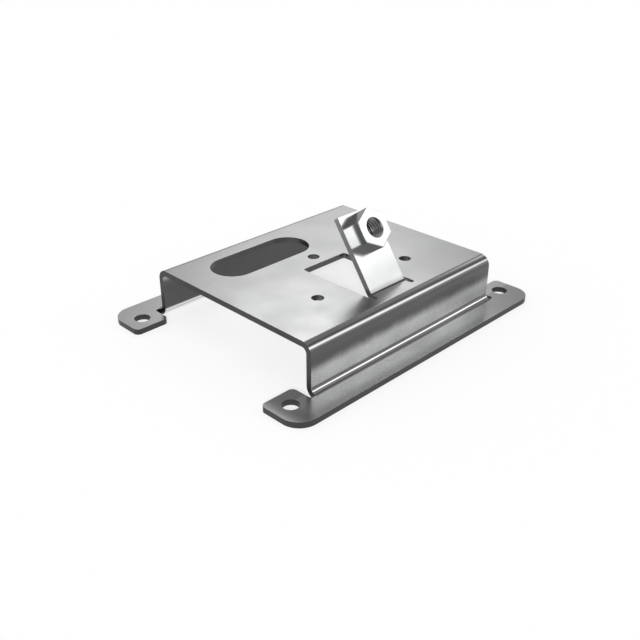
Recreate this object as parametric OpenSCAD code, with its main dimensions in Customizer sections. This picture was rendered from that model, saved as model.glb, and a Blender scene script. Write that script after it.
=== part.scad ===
/* [Sheet] */
// Thickness of the steel sheet
sheet_t = 2; // [1.5:0.1:2.5]
// Inside radius of the four long folds
fold_r = 1.8; // [1.2:0.1:2.4]
// Width of every relief notch and of the slit cut round the tab
relief_w = 1.9; // [1.4:0.1:2.4]

/* [Channel] */
// Width of the channel over the outer faces of its webs
channel_w = 74; // [70:0.5:84]
// Length of the top plate and the webs
channel_l = 87.8; // [82:0.2:100]
// Height of the top face above the undersides of the flanges
channel_h = 18.2; // [14:0.2:26]

/* [Flanges] */
// How far each flange stands out from its web
flange_out = 10.2; // [8:0.2:14]
// How far each ear reaches past the end of the plate
ear_reach = 14.8; // [14:0.2:18]
// How far each ear reaches in under the web, from the web's outer face
ear_in = 6; // [5:0.2:9]
// Radius of the outer corners of the flanges
flange_corner_r = 6.7; // [2:0.1:8]
// Radius of the ears' inner corners
ear_corner_r = 1.8; // [0.5:0.1:3]

/* [Fixing holes] */
// Diameter of the four fixing holes in the ears
fixing_d = 5.5; // [4:0.1:6.5]
// Distance from a fixing hole's centre to the flange's long edge
fixing_from_side = 10.1; // [8:0.1:11]
// Distance from a fixing hole's centre to the ear's end
fixing_from_end = 6.4; // [5.5:0.1:7.5]

/* [Cable slot] */
// Width of the cable slot
slot_w = 16; // [10:0.5:18]
// Length of the cable slot over its round ends
slot_l = 40.8; // [30:0.2:46]
// Distance from the plate's middle to the slot's middle, across the channel
slot_off_x = 19.9; // [18:0.1:21]
// Distance from the plate's middle to the slot's middle, along the channel
slot_off_y = 12.6; // [6:0.2:16]

/* [Lamp holes] */
// Diameter of the three small holes in the plate
lamp_hole_d = 4.2; // [3:0.1:5]
// Distance between the two holes beside the tab
lamp_pair_pitch = 42.8; // [36:0.2:56]
// Distance from the plate's middle to the line of those two holes
lamp_pair_x = 17.1; // [12:0.1:20]
// Distance from the plate's middle to the single hole, on the slot's side
lamp_single_x = 6.4; // [4.5:0.1:7]

/* [Tab] */
// Width of the tab
tab_w = 16.2; // [14:0.1:20]
// Length of the tab up its front face, from the plate's top face
tab_l = 26.9; // [26:0.1:28]
// Angle of the tab above the plate
tab_angle = 55; // [45:1:70]
// Distance from the plate's middle to the line where the tab's front face meets the top face
tab_x = 28.2; // [27:0.1:29]
// Inside radius of the fold at the foot of the tab
tab_fold_r = 1.4; // [1:0.1:2]
// How far the slits run on past the tab's fold
slit_past = 2.1; // [1.5:0.1:2.5]

/* [Nut] */
// Width of the nut across its flats
nut_af = 12; // [11:0.1:14]
// Height of the nut
nut_h = 5.5; // [4:0.1:8]
// Diameter of the nut's bore
nut_bore_d = 6.65; // [5:0.05:8]
// Distance of the nut's axis up the tab's front face, from the plate's top face
nut_up = 19.5; // [18:0.1:20]

/* [Hidden] */
// Facets of a full round, where it is drawn
$fn = 64;
// How far a cutter runs past the face that it cuts
past = 1;
// Where the unstretched layer of the sheet lies in a fold, as a share of the thickness
neutral_share = 0.44;
// Outside radius of the long folds
fold_outer_r = fold_r + sheet_t;
// Radius that the cutting leaves in the corners of the notches, the window and the slits
cut_r = relief_w / 2;
// Outer edge of a flange, and its edge at the fold
flange_edge_x = channel_w / 2 + flange_out;
flange_fold_x = channel_w / 2 + fold_r;
// Inner edge of an ear
ear_edge_x = channel_w / 2 - ear_in;
// Ends of the plate and of the ears, and the ears' edges beside the notches
plate_end_y = channel_l / 2;
ear_start_y = plate_end_y + relief_w;
ear_end_y = plate_end_y + ear_reach;
// Underside of the plate
plate_z = channel_h - sheet_t;
// Distance from the meeting line of two folded faces to where the round of the tab's fold starts
tab_setback = tab_fold_r * tan(tab_angle / 2);
// Where the round of the tab's fold starts in the plate, and how far down the tab it ends
tab_fold_x = tab_x + tab_setback;
tab_flat_l = tab_l - tab_setback;
// Length of sheet that the fold takes up, and the tab's reach when it lay flat in the plate
fold_length = (tab_fold_r + neutral_share * sheet_t) * tab_angle * PI / 180;
tab_blank_l = fold_length + tab_flat_l;
// Window that the tab leaves: its blank with a slit round it
window_w = tab_w + 2 * relief_w;
window_far_x = tab_fold_x - tab_blank_l - relief_w;
window_near_x = tab_fold_x + slit_past;

// Quarter of a ring, between the directions +X and +Y
module quarter_ring(inner_r, outer_r) {
    intersection() {
        difference() {
            circle(outer_r);
            circle(inner_r);
        }
        square(outer_r);
    }
}

// Section of the folded channel: plate, and at each side a fold, a web and the fold to the flange
module channel_section() {
    web_x = channel_w / 2;
    plate_w = channel_w - 2 * fold_outer_r;
    translate([-plate_w / 2, plate_z]) square([plate_w, sheet_t]);
    for (side = [0, 1])
        mirror([side, 0]) {
            translate([web_x - fold_outer_r, channel_h - fold_outer_r]) quarter_ring(fold_r, fold_outer_r);
            translate([web_x - sheet_t, fold_outer_r]) square([sheet_t, channel_h - 2 * fold_outer_r]);
            translate([flange_fold_x, fold_outer_r]) rotate(180) quarter_ring(fold_r, fold_outer_r);
        }
}

// Folded plate and webs, without the flat flanges
module channel() {
    rotate([90, 0, 0]) linear_extrude(channel_l, center = true) channel_section();
}

// Corner at the origin with sides to -X and -Y, outside the round that replaces it.
// Cut off, it rounds an outer corner, and filled in, it rounds an inner one.
module corner(r) {
    difference() {
        translate([-r, -r]) square(r + past);
        translate([-r, -r]) circle(r);
    }
}

// Outline of a quarter of the flat flange: half its length, with one ear
module flange_quarter() {
    difference() {
        union() {
            translate([flange_fold_x, 0]) square([flange_edge_x - flange_fold_x, ear_end_y]);
            translate([ear_edge_x, ear_start_y])
                square([flange_edge_x - ear_edge_x, ear_end_y - ear_start_y]);
            translate([flange_fold_x, ear_start_y]) corner(cut_r);
        }
        translate([flange_edge_x, ear_end_y]) corner(flange_corner_r);
        translate([ear_edge_x, ear_end_y]) rotate(90) corner(ear_corner_r);
        translate([ear_edge_x, ear_start_y]) rotate(180) corner(ear_corner_r);
        translate([flange_edge_x - fixing_from_side, ear_end_y - fixing_from_end]) circle(d = fixing_d);
    }
}

// Repeats an outline in all four quarters of the plan
module in_four_quarters() {
    children();
    mirror([1, 0]) children();
    mirror([0, 1]) children();
    rotate(180) children();
}

// Both flat flanges with their four ears
module flanges() {
    linear_extrude(sheet_t) in_four_quarters() flange_quarter();
}

// Obround outline that lies along Y
module obround(w, l) {
    square([w, l - w], center = true);
    for (end = [-1, 1])
        translate([0, end * (l - w) / 2]) circle(d = w);
}

// Outline of the window and of the slits that run on from it beside the tab's root
module window() {
    difference() {
        translate([window_far_x, -window_w / 2]) square([window_near_x - window_far_x, window_w]);
        for (side = [0, 1])
            mirror([0, side]) {
                translate([window_far_x, window_w / 2]) rotate(90) corner(cut_r);
                translate([window_near_x, window_w / 2]) corner(cut_r);
                translate([window_near_x, tab_w / 2]) rotate(-90) corner(cut_r);
            }
    }
}

// Outline of everything that is cut through the plate
module plate_cuts() {
    translate([-slot_off_x, -slot_off_y]) obround(slot_w, slot_l);
    translate([-lamp_single_x, 0]) circle(d = lamp_hole_d);
    for (side = [-1, 1])
        translate([lamp_pair_x, side * lamp_pair_pitch / 2]) circle(d = lamp_hole_d);
    window();
}

// Places what stands on the tab's front face: X runs up the tab, and Z points out of its front
module on_tab() {
    translate([tab_x, 0, channel_h])
        rotate([0, tab_angle, 0])
            rotate(180)
                children();
}

// Wedge of the tab's fold: from the fold's centre down to the plate and round to the tab
module fold_wedge(reach) {
    polygon([
        [0, 0],
        [0, -reach],
        [-reach * tan(tab_angle / 2), -reach],
        [-reach * sin(tab_angle), -reach * cos(tab_angle)],
    ]);
}

// Side view of the tab and its root between the slits: a sharply bent strip, then rounded at the fold
module tab_section() {
    up = [-cos(tab_angle), sin(tab_angle)];
    front = [sin(tab_angle), cos(tab_angle)];
    foot = [tab_x, channel_h];
    root_x = window_near_x + past;
    fold_centre = [tab_fold_x, channel_h + tab_fold_r];
    difference() {
        polygon([
            foot,
            foot + tab_l * up,
            foot + tab_l * up - sheet_t * front,
            foot - sheet_t * [tan(tab_angle / 2), 1],
            [root_x, plate_z],
            [root_x, channel_h],
        ]);
        translate(fold_centre)
            difference() {
                fold_wedge(tab_fold_r + sheet_t + past);
                circle(tab_fold_r + sheet_t);
            }
    }
    translate(fold_centre)
        difference() {
            fold_wedge(tab_fold_r + sheet_t / 2);
            circle(tab_fold_r);
        }
}

// Tab, bent up out of the window
module tab() {
    rotate([90, 0, 0]) linear_extrude(tab_w, center = true) tab_section();
}

// Folded sheet: channel, flanges and tab in one piece
module bracket() {
    color([0.72, 0.73, 0.74]) {
        difference() {
            union() {
                channel();
                flanges();
            }
            translate([0, 0, plate_z - past]) linear_extrude(sheet_t + 2 * past) plate_cuts();
        }
        tab();
    }
}

// Hexagon nut on the tab's front face, with two flats along the tab's sides
module weld_nut() {
    color([0.86, 0.86, 0.87])
        on_tab()
            translate([nut_up, 0, 0])
                difference() {
                    cylinder(h = nut_h, d = nut_af / cos(30), $fn = 6);
                    translate([0, 0, -past]) cylinder(h = nut_h + 2 * past, d = nut_bore_d);
                }
}

bracket();
weld_nut();
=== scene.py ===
from math import cos, pi, radians, sin, tan

import bmesh
import bpy
from mathutils import Matrix, Vector


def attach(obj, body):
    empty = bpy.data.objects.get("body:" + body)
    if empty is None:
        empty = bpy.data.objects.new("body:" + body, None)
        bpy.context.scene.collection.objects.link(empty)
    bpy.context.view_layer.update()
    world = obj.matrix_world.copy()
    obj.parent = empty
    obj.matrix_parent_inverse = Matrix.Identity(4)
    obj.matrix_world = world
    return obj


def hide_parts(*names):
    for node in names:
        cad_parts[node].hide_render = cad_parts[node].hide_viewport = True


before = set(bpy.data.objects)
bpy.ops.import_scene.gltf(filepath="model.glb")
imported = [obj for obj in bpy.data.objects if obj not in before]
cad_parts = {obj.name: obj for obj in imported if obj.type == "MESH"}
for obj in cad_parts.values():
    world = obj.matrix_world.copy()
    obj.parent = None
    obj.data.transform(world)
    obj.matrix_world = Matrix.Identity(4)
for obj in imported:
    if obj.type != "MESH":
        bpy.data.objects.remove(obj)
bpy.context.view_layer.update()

MM = 0.001
# Thickness of the sheet, and height of the plate's top face
SHEET = 2.0 * MM
TOP = 18.2 * MM
# Tab: line where its front meets the plate's top face, and its angle above the plate
TAB_X = 28.2 * MM
TAB_ANGLE = radians(55)
# Nut: its axis up the tab's front, its size across flats, its height, and its thread
NUT_UP = 19.5 * MM
NUT_FLATS = 12 * MM
NUT_HEIGHT = 5.5 * MM
BORE_R = 3.325 * MM
PITCH = 1.25 * MM
THREAD_DEPTH = 0.677 * MM
# Edge breaks of the sheet and the nut, and the round of the nut's upright corners
SHEET_EDGE_BREAK = 0.12 * MM
NUT_EDGE_BREAK = 0.18 * MM
NUT_CORNER_R = 0.3 * MM


class Value:
    """A shader or shape socket that takes part in plain arithmetic."""

    def __init__(self, nodes, socket):
        self.nodes = nodes
        self.socket = socket

    def maths(self, operation, *others):
        return self.nodes.maths(operation, self, *others)

    def __add__(self, other):
        return self.maths("ADD", other)

    def __sub__(self, other):
        return self.maths("SUBTRACT", other)

    def __rsub__(self, other):
        return self.nodes.maths("SUBTRACT", other, self)

    def __mul__(self, other):
        return self.maths("MULTIPLY", other)

    def __truediv__(self, other):
        return self.maths("DIVIDE", other)

    def __rtruediv__(self, other):
        return self.nodes.maths("DIVIDE", other, self)

    def __lt__(self, other):
        return self.maths("LESS_THAN", other)

    def __gt__(self, other):
        return self.maths("GREATER_THAN", other)

    def __abs__(self):
        return self.maths("ABSOLUTE")

    __radd__ = __add__
    __rmul__ = __mul__

    def within(self, low, high):
        """This value, held between two limits."""
        return self.maths("MAXIMUM", low).maths("MINIMUM", high)

    def rise(self, low, high, start=0.0, end=1.0):
        """Smooth step from start to end while this value goes from low to high."""
        sockets = {"Value": self, "From Min": low, "From Max": high, "To Min": start, "To Max": end}
        return self.nodes.add("ShaderNodeMapRange", {"interpolation_type": "SMOOTHSTEP"}, sockets)

    def fall(self, low, high):
        """Smooth step from 1 down to 0 while this value goes from low to high."""
        return self.rise(low, high, 1.0, 0.0)

    def between(self, start, end, blur):
        """1 from start to end, and 0 past the blur outside them."""
        return self.rise(start - blur, start) * self.fall(end, end + blur)


class Nodes:
    """Writes nodes into the tree of a material or of the world, or into a tree that makes a shape."""

    def __init__(self, owner):
        if isinstance(owner, bpy.types.NodeTree):
            self.tree = owner
        else:
            owner.use_nodes = True
            self.tree = owner.node_tree
        self.tree.nodes.clear()

    def add(self, kind, settings=None, values=None, out=0):
        """One node: its settings first, then a value or a link for each of its sockets."""
        node = self.tree.nodes.new(kind)
        for name, setting in (settings or {}).items():
            setattr(node, name, setting)
        pairs = values.items() if isinstance(values, dict) else enumerate(values or [])
        for key, value in pairs:
            socket = node.inputs[key]
            if isinstance(value, Value):
                self.tree.links.new(value.socket, socket)
            else:
                socket.default_value = value
        return Value(self, node.outputs[out]) if len(node.outputs) else node

    def outputs(self, kind, *names, values=None):
        """One node, and those of its outputs that are named."""
        node = self.add(kind, values=values).socket.node
        return [Value(self, node.outputs[name]) for name in names]

    def maths(self, operation, *values):
        return self.add("ShaderNodeMath", {"operation": operation}, values)

    def parts(self, vector):
        """The three numbers of a vector."""
        return self.outputs("ShaderNodeSeparateXYZ", "X", "Y", "Z", values=[vector])

    def noise(self, at, size, detail=2.0, rough=0.5):
        """Noise whose lumps are about as large as the given size."""
        sockets = {"Vector": at, "Scale": 1 / size, "Detail": detail, "Roughness": rough}
        return self.add("ShaderNodeTexNoise", {"noise_dimensions": "3D"}, sockets)

    def stretched(self, at, scales):
        return self.add("ShaderNodeVectorMath", {"operation": "MULTIPLY"}, [at, scales])

    def seen_directly(self):
        """1 for the rays of the camera, and 1 for those that come from metal or through glass."""
        camera, glossy, through = self.outputs(
            "ShaderNodeLightPath", "Is Camera Ray", "Is Glossy Ray", "Is Transmission Ray")
        return camera, glossy + through


def grey(level):
    return (level, level, level, 1.0)


# Camera

CAMERA_PLACE = (0.185842, -0.189240, 0.139416)
CAMERA_TURN = (61.5068, -0.0219, 44.9892)
SENSOR_WIDTH = 36.0
FOCAL_LENGTH = 47.439


def place_camera():
    """The photograph's viewpoint, found from the bracket's straight edges."""
    data = bpy.data.cameras.new("camera")
    data.sensor_width = SENSOR_WIDTH
    data.lens = FOCAL_LENGTH
    data.clip_start = 0.01
    data.clip_end = 60.0
    camera = bpy.data.objects.new("camera", data)
    camera.location = CAMERA_PLACE
    camera.rotation_euler = [radians(turn) for turn in CAMERA_TURN]
    bpy.context.scene.collection.objects.link(camera)
    bpy.context.scene.camera = camera


# Studio

ROOM_GLOW = 0.33
# Each soft box: azimuth, elevation, half width and half height in degrees, strength, softness of its edge
SOFT_BOXES = (
    # Main box on the right, which the tab and the nut's face mirror
    (48, 28.5, 13, 9, 2.05, 0.5),
    # Box behind the object, which the plate mirrors, and a fainter one between these two
    (134, 35, 9.7, 11, 2.55, 0.7),
    (98, 34, 7, 7, 1.2, 0.7),
    # Wide and faint behind the camera, and small and strong above it
    (-75, 32, 55, 16, 0.8, 0.4),
    (-51, 27.5, 6.5, 6.5, 3.6, 0.6),
    # Left, left behind the object, and overhead
    (-135, 28, 28, 16, 0.8, 0.5),
    (180, 30, 24, 14, 0.8, 0.5),
    (0, 90, 22, 22, 0.95, 0.6),
)
# White backdrop in the metal: full up to the first elevation, gone at the second
BACKDROP_FROM = 6
BACKDROP_TO = 17
# Lamp beside the camera: where it stands, its strength, and how wide it looks
LAMP_AZIMUTH = -47.4
LAMP_ELEVATION = 25.3
LAMP_STRENGTH = 2.0
LAMP_WIDTH = 5
# Table: half its side, how far it lies below the object, its white, and the share that shows as white
TABLE_HALF = 12.0
TABLE_DROP = 0.05 * MM
TABLE_WHITE = 0.95
TABLE_GLOW_SHARE = 0.7


def direction(azimuth, elevation):
    a = radians(azimuth)
    e = radians(elevation)
    return Vector((cos(a) * cos(e), sin(a) * cos(e), sin(e)))


def soft_box(nodes, looking, azimuth, elevation, half_width, half_height, strength, softness):
    """Brightness of a soft-edged box of light far off in the given direction."""
    towards = direction(azimuth, elevation)
    across = direction(azimuth + 90, 0)
    up = towards.cross(across)
    ahead, x, y = [nodes.add("ShaderNodeVectorMath", {"operation": "DOT_PRODUCT"}, [looking, axis], out=1)
                   for axis in (towards, across, up)]
    # Directions to the side of the box and behind it count as just ahead, far out of its width
    ahead = ahead.maths("MAXIMUM", 0.01)
    x = x / (ahead * tan(radians(half_width)))
    y = y / (ahead * tan(radians(half_height)))
    off = (x * x + y * y).maths("SQRT")
    return off.rise(1 - softness, 1 + softness, strength, 0.0)


def light_studio():
    """A dim room with soft boxes and a white backdrop.

    A lamp beside the camera keeps the table clear of hard shadows, and leaves no glint in the metal.
    """
    world = bpy.data.worlds.new("studio")
    bpy.context.scene.world = world
    nodes = Nodes(world)
    looking = nodes.add("ShaderNodeTexCoord", out=0)
    glow = ROOM_GLOW
    for box in SOFT_BOXES:
        glow = glow + soft_box(nodes, looking, *box)
    camera, in_metal = nodes.seen_directly()
    height = nodes.parts(looking)[2]
    low_down = height.fall(sin(radians(BACKDROP_FROM)), sin(radians(BACKDROP_TO)))
    glow = glow.maths("MAXIMUM", camera + in_metal * low_down)
    back = nodes.add("ShaderNodeBackground", values={"Color": grey(1.0), "Strength": glow})
    nodes.add("ShaderNodeOutputWorld", values={"Surface": back})
    lamp = bpy.data.lights.new("front_lamp", "SUN")
    lamp.energy = LAMP_STRENGTH
    lamp.angle = radians(LAMP_WIDTH)
    holder = bpy.data.objects.new("front_lamp", lamp)
    shining = -direction(LAMP_AZIMUTH, LAMP_ELEVATION)
    holder.rotation_euler = shining.to_track_quat("-Z", "Y").to_euler()
    holder.visible_glossy = False
    bpy.context.scene.collection.objects.link(holder)


def lay_table():
    """White table. A share of its white shows to the camera and in the metal whatever falls on it."""
    mesh = bpy.data.meshes.new("floor")
    quarters = ((-1, -1), (1, -1), (1, 1), (-1, 1))
    corners = [(x * TABLE_HALF, y * TABLE_HALF, -TABLE_DROP) for x, y in quarters]
    mesh.from_pydata(corners, [], [(0, 1, 2, 3)])
    floor = bpy.data.objects.new("floor", mesh)
    bpy.context.scene.collection.objects.link(floor)
    paint = bpy.data.materials.new("floor_white")
    nodes = Nodes(paint)
    camera, in_metal = nodes.seen_directly()
    matt = nodes.add("ShaderNodeBsdfDiffuse", values={"Color": grey(TABLE_WHITE)})
    white = nodes.add("ShaderNodeEmission", values={"Color": grey(1.0), "Strength": 1.0})
    coat = nodes.add("ShaderNodeMixShader", values=[(camera + in_metal) * TABLE_GLOW_SHARE, matt, white])
    nodes.add("ShaderNodeOutputMaterial", values={"Surface": coat})
    mesh.materials.append(paint)


# Finishes

# How the fine grain is stretched: along the folds on the sheet, upright on its cut edges, not on the nut
GRAIN_ALONG_FOLDS = (1.0, 0.03, 1.0)
GRAIN_UPRIGHT = (1.0, 1.0, 0.06)
GRAIN_EVEN = (1.0, 1.0, 1.0)
# Sizes of the grain, of the clouds in tone and gloss, and of the smears in gloss
GRAIN_SIZE = 0.16 * MM
CLOUD_SIZE = 16 * MM
SMEAR_SIZE = 5 * MM
# Depth of the grain on rolled or turned steel, and on a cut edge
FINE_RELIEF = 0.00012 * MM
CUT_RELIEF = 0.0008 * MM
# Parts of the noises that are used, and what they multiply tone and roughness by from low end to high end
CLOUD_SPAN = (0.25, 0.75)
FINE_SPAN = (0.3, 0.7)
CLOUD_TONE = (0.95, 1.05)
GRAIN_TONE = (0.99, 1.01)
CLOUD_GLOSS = (1.08, 0.92)
SMEAR_GLOSS = (0.96, 1.04)
# How much less red and more blue than grey the steel is
COOL = 0.005

# Satin outside of the sheet: its tone and roughness, and what is taken from the tone by a painted dark
# reflection under the top folds, painted shade on the left top fold, a painted dark line above the fold's
# glint and painted shade at the tab's foot
SATIN_TONE = 0.4
SATIN_ROUGH = 0.28
PAINTED_BAND_DARKER = 0.29
LEFT_FOLD_PAINTED_SHADE = 0.15
ABOVE_GLINT_PAINTED_LINE = 0.18
TAB_FOOT_PAINTED_SHADE = 0.28
# Share of the tone that the painted dark lines on a lower fold take, and the strength of the lower painted
# line beside the upper one
PAINTED_LINE_SHARE = 0.66
LOWER_PAINTED_LINE = 0.95
# Painted light: what the tab gains in tone from its foot to its top
TAB_PAINTED_LIGHT = (0.075, 0.155)
# Painted light and shade on the tab's side: what the lower web gains from the middle to the far end, what
# the flange loses again towards the far end, and what the near ear loses at its tip
LOW_WEB_PAINTED_LIGHT = (0.13, 0.32)
FAR_FLANGE_PAINTED_SHADE = (0.0, 0.42)
EAR_TIP_PAINTED_SHADE = (0.15, 0.0)
# What the burnished folds and the tab lose in roughness, and what the plate gains beside the tab's foot
FOLD_SMOOTHER = 0.14
TAB_SMOOTHER = 0.08
BY_TAB_ROUGHER = 0.05
# Where the outer face of a web starts, going out from the middle
WEB_FACE = (36 * MM, 36.4 * MM)
# Upright streaks and round blotches that make the painted dark band ragged: sizes, and how far they move its
# edge
STREAKS_UPRIGHT = (1.0, 1.0, 0.15)
STREAK_SIZE = 1.2 * MM
STREAK_REACH = 1.2 * MM
BLOTCH_SIZE = 9 * MM
BLOTCH_REACH = 2.5 * MM

# Inside of the channel: painted shade tones, darkest on the webs and lighter under the plate, and what the
# folds change: a painted highlight crossed by painted dark lines on the lower folds, and less roughness
INSIDE_TONES = (0.11, 0.4)
INSIDE_ROUGH = 0.36
LOW_FOLD_PAINTED_HIGHLIGHT = 0.75
HIGHLIGHT_PAINTED_DARK_LINE = 0.5
STRETCHED_SMOOTHER = 0.16
INSIDE_FOLD_SMOOTHER = 0.2

# Cut edges: their dark tone, and the painted light that the cable slot and then the other openings gain, and
# that the tab gains
EDGE_TONE = 0.07
EDGE_ROUGH = 0.4
OPENING_PAINTED_LIGHT = (0.035, 0.09)
TAB_EDGE_PAINTED_LIGHT = 0.12

# Nut: tones of the turned face and its rim, of the flats, and of the bore. The face is brightened as painted
# light, its rim is a painted dark outline, and the flats are darkened as painted shade
TURNED_TONES = (0.54, 0.35)
FLAT_TONE = 0.135
# Painted reflection of the tab on the foot of the two flats beside it
FLAT_PAINTED_REFLECTION = 0.425
NUT_ROUGH = 0.22
BORE_TONE = 0.3
BORE_ROUGH = 0.3


def steel(name, finish_of, grain_along=GRAIN_EVEN, relief_depth=FINE_RELIEF):
    """Bare steel, cloudy in tone and gloss and with a fine grain.

    finish_of gives its tone and its roughness at a place.
    """
    finish = bpy.data.materials.new(name)
    nodes = Nodes(finish)
    at = nodes.add("ShaderNodeTexCoord", out=3)
    tone, gloss = finish_of(nodes, at)
    cloud = nodes.noise(at, CLOUD_SIZE, rough=0.4)
    smear = nodes.noise(at, SMEAR_SIZE)
    grain = nodes.noise(nodes.stretched(at, grain_along), GRAIN_SIZE)
    shade = cloud.rise(*CLOUD_SPAN, *CLOUD_TONE) * grain.rise(*FINE_SPAN, *GRAIN_TONE) * tone
    colour = nodes.add("ShaderNodeCombineColor", values=[shade * (1 - COOL), shade, shade * (1 + COOL)])
    rough = cloud.rise(*CLOUD_SPAN, *CLOUD_GLOSS) * smear.rise(*FINE_SPAN, *SMEAR_GLOSS) * gloss
    relief = nodes.add("ShaderNodeBump", values={
        "Strength": 1.0, "Distance": relief_depth, "Height": grain})
    metal = nodes.add("ShaderNodeBsdfPrincipled", values={
        "Base Color": colour, "Metallic": 1.0, "Roughness": rough, "Normal": relief})
    nodes.add("ShaderNodeOutputMaterial", values={"Surface": metal})
    return finish


def painted_dark_band(nodes, at, out, z):
    """Ragged band under the top folds where the webs are darkened: a painted dark reflection."""
    streak = nodes.noise(nodes.stretched(at, STREAKS_UPRIGHT), STREAK_SIZE, detail=3.0)
    blotch = nodes.noise(at, BLOTCH_SIZE)
    ragged_z = z + (streak - 0.5) * STREAK_REACH + (blotch - 0.5) * BLOTCH_REACH
    return out.rise(*WEB_FACE) * ragged_z.rise(7.6 * MM, 12.2 * MM) * z.fall(15.8 * MM, 16.4 * MM)


def painted_fold_lines(out, z):
    """Painted dark lines above and below the lit line of each lower fold."""
    above = z.between(3.0 * MM, 3.65 * MM, 0.25 * MM) * out.between(36.6 * MM, 37.3 * MM, 0.3 * MM)
    below = out.rise(38.1 * MM, 38.55 * MM) * out.fall(39 * MM, 39.6 * MM)
    below = below * z.between(0, 2.5 * MM, 0.3 * MM)
    return above + below * LOWER_PAINTED_LINE


def painted_tab_side_tone(x, y, z):
    """What is added to the tone on the tab's side as painted light and shade: a paler lower web, and less of
    it on the flange.
    """
    painted_low_web_light = z.fall(8 * MM, 11 * MM) * y.rise(0, 42 * MM, *LOW_WEB_PAINTED_LIGHT)
    on_flange = z.fall(2.2 * MM, 2.8 * MM)
    painted_flange_shade = y.rise(10 * MM, 42 * MM, *FAR_FLANGE_PAINTED_SHADE) + y.rise(-54 * MM, -50 * MM, *EAR_TIP_PAINTED_SHADE)
    return x.rise(*WEB_FACE) * (painted_low_web_light - on_flange * painted_flange_shade)


def satin_face(nodes, at):
    """Satin outside of the sheet: burnished folds and a smooth tab, with painted light, painted shade and
    painted dark reflections in its tone.
    """
    x, y, z = nodes.parts(at)
    out = abs(x)
    beside_plate = abs(y).fall(43.5 * MM, 44 * MM)
    top_fold = out.rise(33.4 * MM, 34.2 * MM) * z.rise(13.4 * MM, 14.6 * MM)
    low_fold = out.between(36.5 * MM, 38.6 * MM, 1 * MM) * z.between(0, 3.6 * MM, 1 * MM) * beside_plate
    # Painted shade on the left top fold only
    painted_left_shade = x.fall(-33.9 * MM, -33.0 * MM) * z.rise(14 * MM, 16.5 * MM)
    # Painted dark line above the top fold's glint, which makes the glint look thinner
    painted_line_above_glint = z.between(17.05 * MM, 17.5 * MM, 0.12 * MM) * out.rise(34.5 * MM, 35.2 * MM)
    on_tab = z.rise(TOP + 0.5 * MM, TOP + 2 * MM)
    # Painted light on the tab, growing from its foot to its top
    painted_tab_light = z.rise(TOP + 3 * MM, TOP + 10 * MM, *TAB_PAINTED_LIGHT)
    # Painted shade in the crease at the tab's foot
    painted_tab_foot_shade = z.rise(TOP + 0.05 * MM, TOP + 0.15 * MM) * z.fall(TOP + 0.4 * MM, TOP + 0.7 * MM)
    by_tab = x.between(24 * MM, 34 * MM, 6 * MM) * y.between(-26 * MM, -10 * MM, 5 * MM)
    by_tab = by_tab * z.between(17.5 * MM, 18.3 * MM, 0.2 * MM)
    # Painted dark lines beside the lit line of each lower fold
    painted_lines = painted_fold_lines(out, z) * beside_plate
    # Painted dark reflection in a band under the top folds
    painted_band = painted_dark_band(nodes, at, out, z)
    tone = (SATIN_TONE + painted_tab_side_tone(x, y, z)) * (1.0 - painted_lines * PAINTED_LINE_SHARE)
    tone = tone - painted_band * PAINTED_BAND_DARKER - painted_left_shade * LEFT_FOLD_PAINTED_SHADE - painted_line_above_glint * ABOVE_GLINT_PAINTED_LINE
    tone = tone - painted_tab_foot_shade * TAB_FOOT_PAINTED_SHADE + on_tab * painted_tab_light
    gloss = SATIN_ROUGH + by_tab * BY_TAB_ROUGHER
    gloss = gloss - (top_fold + low_fold) * FOLD_SMOOTHER - on_tab * TAB_SMOOTHER
    return tone, gloss


def painted_shade_inside(nodes, at):
    """Inside of the channel, darkened as painted shade, darkest on the webs, with a painted highlight on the
    lower folds.
    """
    x, _, z = nodes.parts(at)
    out = abs(x)
    # Band on the lower folds: what it adds to the tone is a painted highlight, what it takes from the
    # roughness makes it smoother
    stretched = z.rise(0.1 * MM, 0.4 * MM) * z.fall(2.7 * MM, 3.6 * MM) * out.fall(38.5 * MM, 38.8 * MM)
    # Painted dark lines across that painted highlight
    glint_dark_lines = abs(abs(z - 1.55 * MM) - 0.6 * MM).fall(0.08 * MM, 0.3 * MM)
    top_fold = out.rise(33 * MM, 34 * MM) * z.rise(11.5 * MM, 12.5 * MM)
    # Painted shade: darkest on the webs, lighter under the plate
    tone = z.rise(13 * MM, 15.5 * MM, *INSIDE_TONES)
    tone = tone + stretched * (LOW_FOLD_PAINTED_HIGHLIGHT - glint_dark_lines * HIGHLIGHT_PAINTED_DARK_LINE)
    gloss = INSIDE_ROUGH - stretched * STRETCHED_SMOOTHER - top_fold * INSIDE_FOLD_SMOOTHER
    return tone, gloss


def cut_edge(nodes, at):
    """Cut edge: dark round the outside, with painted light in the plate's openings and most on the tab."""
    x, y, z = nodes.parts(at)
    opening = z.rise(15.5 * MM, 16 * MM) * abs(y).fall(43.3 * MM, 43.7 * MM)
    # Painted light on the edges of the openings, more past the cable slot
    past_slot = x.rise(-12 * MM, -10 * MM, *OPENING_PAINTED_LIGHT)
    on_tab = z.rise(TOP + 0.3 * MM, TOP + 2 * MM)
    return EDGE_TONE + opening * past_slot + on_tab * TAB_EDGE_PAINTED_LIGHT, EDGE_ROUGH


def turned_face(nodes, at):
    """Turned face, brightened as painted light, with a painted dark outline in a narrow rim along the
    hexagon.
    """
    x, y, z = nodes.parts(at)
    up_from_axis = (z - TOP) * sin(TAB_ANGLE) - (x - TAB_X) * cos(TAB_ANGLE) - NUT_UP
    from_axis = abs(y)
    for lean in (sin(pi / 3), -sin(pi / 3)):
        from_axis = from_axis.maths("MAXIMUM", abs(y * 0.5 + up_from_axis * lean))
    return from_axis.rise(5.6 * MM, 5.9 * MM, *TURNED_TONES), NUT_ROUGH


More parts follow.
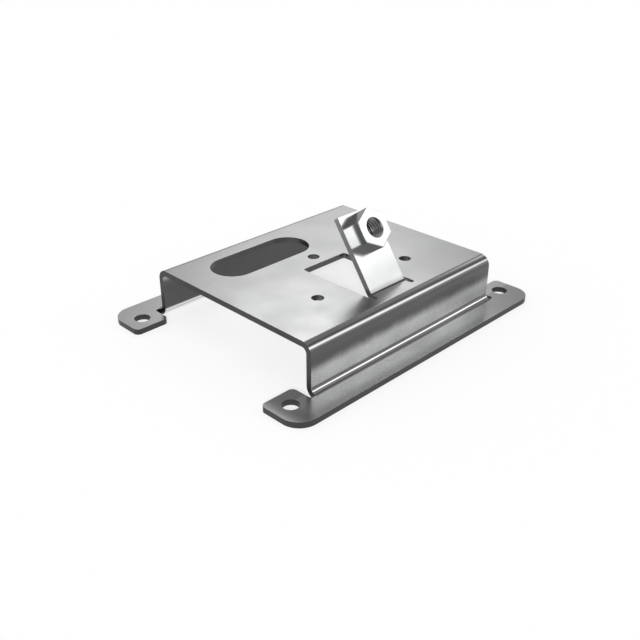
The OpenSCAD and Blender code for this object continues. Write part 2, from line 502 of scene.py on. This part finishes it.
def nut_flats(nodes, at):
    """Flats, darkened as painted shade; the two beside the tab's edges carry a painted reflection of the tab
    at their foot.
    """
    x, y, z = nodes.parts(at)
    above_tab = (x - TAB_X) * sin(TAB_ANGLE) + (z - TOP) * cos(TAB_ANGLE)
    # Painted reflection of the tab at the foot of the two flats beside its edges
    foot = abs(y).rise(5.8 * MM, 5.95 * MM) * above_tab.fall(2.2 * MM, 3.5 * MM)
    return FLAT_TONE + foot * FLAT_PAINTED_REFLECTION, NUT_ROUGH


def nut_bore(nodes, at):
    """Thread, the same all over."""
    return BORE_TONE, BORE_ROUGH


# Sheet

# Places of the sheet's finishes among its materials
FACE, INSIDE, CUT = 0, 1, 2
# Joins of the solid's triangles: points closer than this are one, and faces flatter than this are one
SAME_POINT = 0.001 * MM
SAME_PLANE = radians(0.3)
# Edges sharper than this are broken
SHARP = radians(40)
# A face is upright where its normal rises less than the first. It is at an end where the normal points along
# the folds more than the second, and on an edge where it points out or in less than the third
UPRIGHT_BELOW = 0.3
END_ABOVE = 0.5
SIDEWAYS_BELOW = 0.4


def sheet_surface(normal, middle):
    """Outer face of the sheet, its inner face, or a cut edge."""
    upright = abs(normal.z) < UPRIGHT_BELOW and (middle.z < SHEET or middle.z > TOP - SHEET)
    at_end = abs(normal.y) > END_ABOVE
    outward = normal.z + (normal.x if middle.x > 0 else -normal.x)
    if upright or at_end or abs(outward) < SIDEWAYS_BELOW:
        return CUT
    return FACE if outward > 0 else INSIDE


def new_piece(name, mesh, smooth_up_to):
    """Shows a mesh as a piece of the bracket, smooth up to an angle, with flat faces that look flat."""
    mesh.name = name
    mesh.shade_smooth()
    mesh.set_sharp_from_angle(angle=smooth_up_to)
    piece = bpy.data.objects.new(name, mesh)
    bpy.context.scene.collection.objects.link(piece)
    shading = piece.modifiers.new("flat_faces", "WEIGHTED_NORMAL")
    shading.weight = 50
    shading.keep_sharp = True
    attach(piece, "root")
    return piece


def fold_sheet():
    """The sheet's solid again, with its cut edges broken and each face told its surface."""
    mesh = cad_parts["bracket"].data.copy()
    mesh.materials.clear()
    work = bmesh.new()
    work.from_mesh(mesh)
    bmesh.ops.remove_doubles(work, verts=work.verts, dist=SAME_POINT)
    bmesh.ops.dissolve_limit(work, angle_limit=SAME_PLANE, verts=work.verts, edges=work.edges)
    for face in work.faces:
        face.material_index = sheet_surface(face.normal, face.calc_center_median())
    sharp = [edge for edge in work.edges if edge.is_manifold and edge.calc_face_angle() > SHARP]
    bmesh.ops.bevel(work, geom=sharp, offset=SHEET_EDGE_BREAK, offset_type="OFFSET", segments=2,
                    profile=0.5, affect="EDGES", clamp_overlap=True, material=-1)
    work.to_mesh(mesh)
    work.free()
    mesh.materials.append(steel("satin_face", satin_face, GRAIN_ALONG_FOLDS))
    mesh.materials.append(steel("painted_shade_inside", painted_shade_inside, GRAIN_ALONG_FOLDS))
    mesh.materials.append(steel("cut_edge", cut_edge, GRAIN_UPRIGHT, CUT_RELIEF))
    piece = new_piece("folded_sheet", mesh, radians(180))
    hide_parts("bracket")


# Nut

# Columns of the nut's grid round the axis, its rows in each turn of the thread, the turns, and the rows that
# bring the profile back from the front of the bore to its back
COLUMNS = 288
TURN_ROWS = 8
TURNS = 6
PROFILE_ROWS = 5
# Shares of the pitch: what is left flat at the bore, and what the two slopes of a groove take
THREAD_FLAT = 0.25
THREAD_SLOPES = 0.625
# Length over which the thread runs out at the back and at the front
RUN_OUT_BACK = 0.5 * MM
RUN_OUT_FRONT = 0.6 * MM
# Points of the grid's seam that are closer than this are joined
SEAM = 0.002 * MM


def nut_tree():
    """Shape of a threaded hexagon nut: one sheet of quads, rolled round the axis and along its profile.

    Its rows start at the back of the bore, follow the thread to the front, and come back over the front
    face, the hexagon and the back face.
    """
    tree = bpy.data.node_groups.new("threaded_nut", "GeometryNodeTree")
    tree.is_modifier = True
    sizes = {"Across flats": NUT_FLATS, "Height": NUT_HEIGHT, "Bore radius": BORE_R, "Pitch": PITCH,
             "Thread depth": THREAD_DEPTH, "Edge break": NUT_EDGE_BREAK, "Corner radius": NUT_CORNER_R}
    surfaces = ("Turned face", "Flats", "Bore")
    for name, size in sizes.items():
        socket = tree.interface.new_socket(name, in_out="INPUT", socket_type="NodeSocketFloat")
        socket.default_value = size
    for name in surfaces:
        tree.interface.new_socket(name, in_out="INPUT", socket_type="NodeSocketMaterial")
    tree.interface.new_socket("Nut", in_out="OUTPUT", socket_type="NodeSocketGeometry")
    nodes = Nodes(tree)
    flats, height, bore, pitch, depth, edge, corner, face_finish, flat_finish, bore_finish = nodes.outputs(
        "NodeGroupInput", *sizes, *surfaces)
    thread_rows = TURN_ROWS * TURNS
    rows = thread_rows + PROFILE_ROWS
    grid = nodes.add("GeometryNodeMeshGrid", values={
        "Size X": 1.0, "Size Y": 1.0, "Vertices X": COLUMNS + 1, "Vertices Y": rows + 1})
    u, v = nodes.parts(nodes.add("GeometryNodeInputPosition"))[:2]
    u = u + 0.5
    row = ((v + 0.5) * rows).maths("ROUND")

    def step(number):
        """From 0 to 1 over the step from the given row after the thread to the next."""
        return (row - (thread_rows + number)).within(0.0, 1.0)

    # Rows of the bore climb a pitch each turn, and are held between the back and the front
    climb = ((row / TURN_ROWS + u - 1.0) * pitch).within(0.0, height - edge)
    in_groove = 1.0 - abs((row / TURN_ROWS).maths("FRACT") - 0.5) * 2.0
    groove = ((in_groove - THREAD_FLAT) / THREAD_SLOPES).within(0.0, 1.0)
    ends = climb.rise(0.0, RUN_OUT_BACK) * (height - edge - climb).rise(0.0, RUN_OUT_FRONT)
    thread = groove * ends * depth * (row < thread_rows + 0.5)
    # Hexagon with rounded corners: flat, or the round where it lies further in
    from_corner = (0.5 - abs((u * 6.0).maths("FRACT") - 0.5)) * (pi / 3)
    on_flat = flats / 2 / (pi / 6 - from_corner).maths("COSINE")
    centre = (flats / 2 - corner) / cos(pi / 6)
    aside = centre * from_corner.maths("SINE")
    on_round = centre * from_corner.maths("COSINE")
    on_round = on_round + (corner * corner - aside * aside).maths("MAXIMUM", 0.0).maths("SQRT")
    past_round = aside > corner * 0.5
    hexagon = on_round + (on_flat - on_round) * past_round
    # Profile: thread, edge break, front face, edge break, flats, back face
    out = bore + thread + step(0) * edge + step(1) * (hexagon - bore - edge * 2.0)
    out = out + step(2) * edge - step(4) * (hexagon - bore)
    up = climb + step(0) * edge - step(2) * edge - step(3) * (height - edge)
    angle = u * (2 * pi)
    across = (out * angle.maths("COSINE"), out * angle.maths("SINE"))
    place = nodes.add("ShaderNodeCombineXYZ", values=[*across, up])
    rolled = nodes.add("GeometryNodeSetPosition", values={"Geometry": grid, "Position": place})
    closed = nodes.add("GeometryNodeMergeByDistance", values={"Geometry": rolled, "Distance": SEAM})
    outward = nodes.add("GeometryNodeFlipFaces", values={"Mesh": closed})
    x, y = nodes.parts(nodes.add("GeometryNodeInputPosition"))[:2]
    in_bore = (x * x + y * y).maths("SQRT") < bore + depth + edge
    facing = nodes.parts(nodes.add("GeometryNodeInputNormal"))[2]
    shape = nodes.add("GeometryNodeRealizeInstances", values={"Geometry": outward})
    for finish, where in ((flat_finish, True), (face_finish, abs(facing) > 0.5), (bore_finish, in_bore)):
        shape = nodes.add("GeometryNodeSetMaterial", values={
            "Geometry": shape, "Selection": where, "Material": finish})
    nodes.add("NodeGroupOutput", values=[shape])
    return tree


def make_nut():
    """Hexagon nut on the tab's front."""
    tree = nut_tree()
    blank = bpy.data.objects.new("nut_blank", bpy.data.meshes.new("nut_blank"))
    bpy.context.scene.collection.objects.link(blank)
    maker = blank.modifiers.new("nut", "NODES")
    maker.node_group = tree
    finishes = {"Turned face": steel("turned_face", turned_face), "Flats": steel("nut_flats", nut_flats),
                "Bore": steel("nut_bore", nut_bore)}
    for socket in tree.interface.items_tree:
        if socket.in_out == "INPUT" and socket.name in finishes:
            maker[socket.identifier] = finishes[socket.name]
    depsgraph = bpy.context.evaluated_depsgraph_get()
    mesh = bpy.data.meshes.new_from_object(blank.evaluated_get(depsgraph))
    # The first slot of the result is empty
    mesh.materials.pop(index=0)
    bpy.data.objects.remove(blank)
    up = Vector((-cos(TAB_ANGLE), 0, sin(TAB_ANGLE)))
    front = Vector((sin(TAB_ANGLE), 0, cos(TAB_ANGLE)))
    foot = Vector((TAB_X, 0, TOP))
    place = Matrix((up, front.cross(up), front)).transposed().to_4x4()
    place.translation = foot + up * NUT_UP
    mesh.transform(place)
    piece = new_piece("hexagon_nut", mesh, radians(35))
    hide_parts("weld_nut")


bpy.context.scene.view_settings.view_transform = "Standard"
place_camera()
light_studio()
lay_table()
fold_sheet()
make_nut()
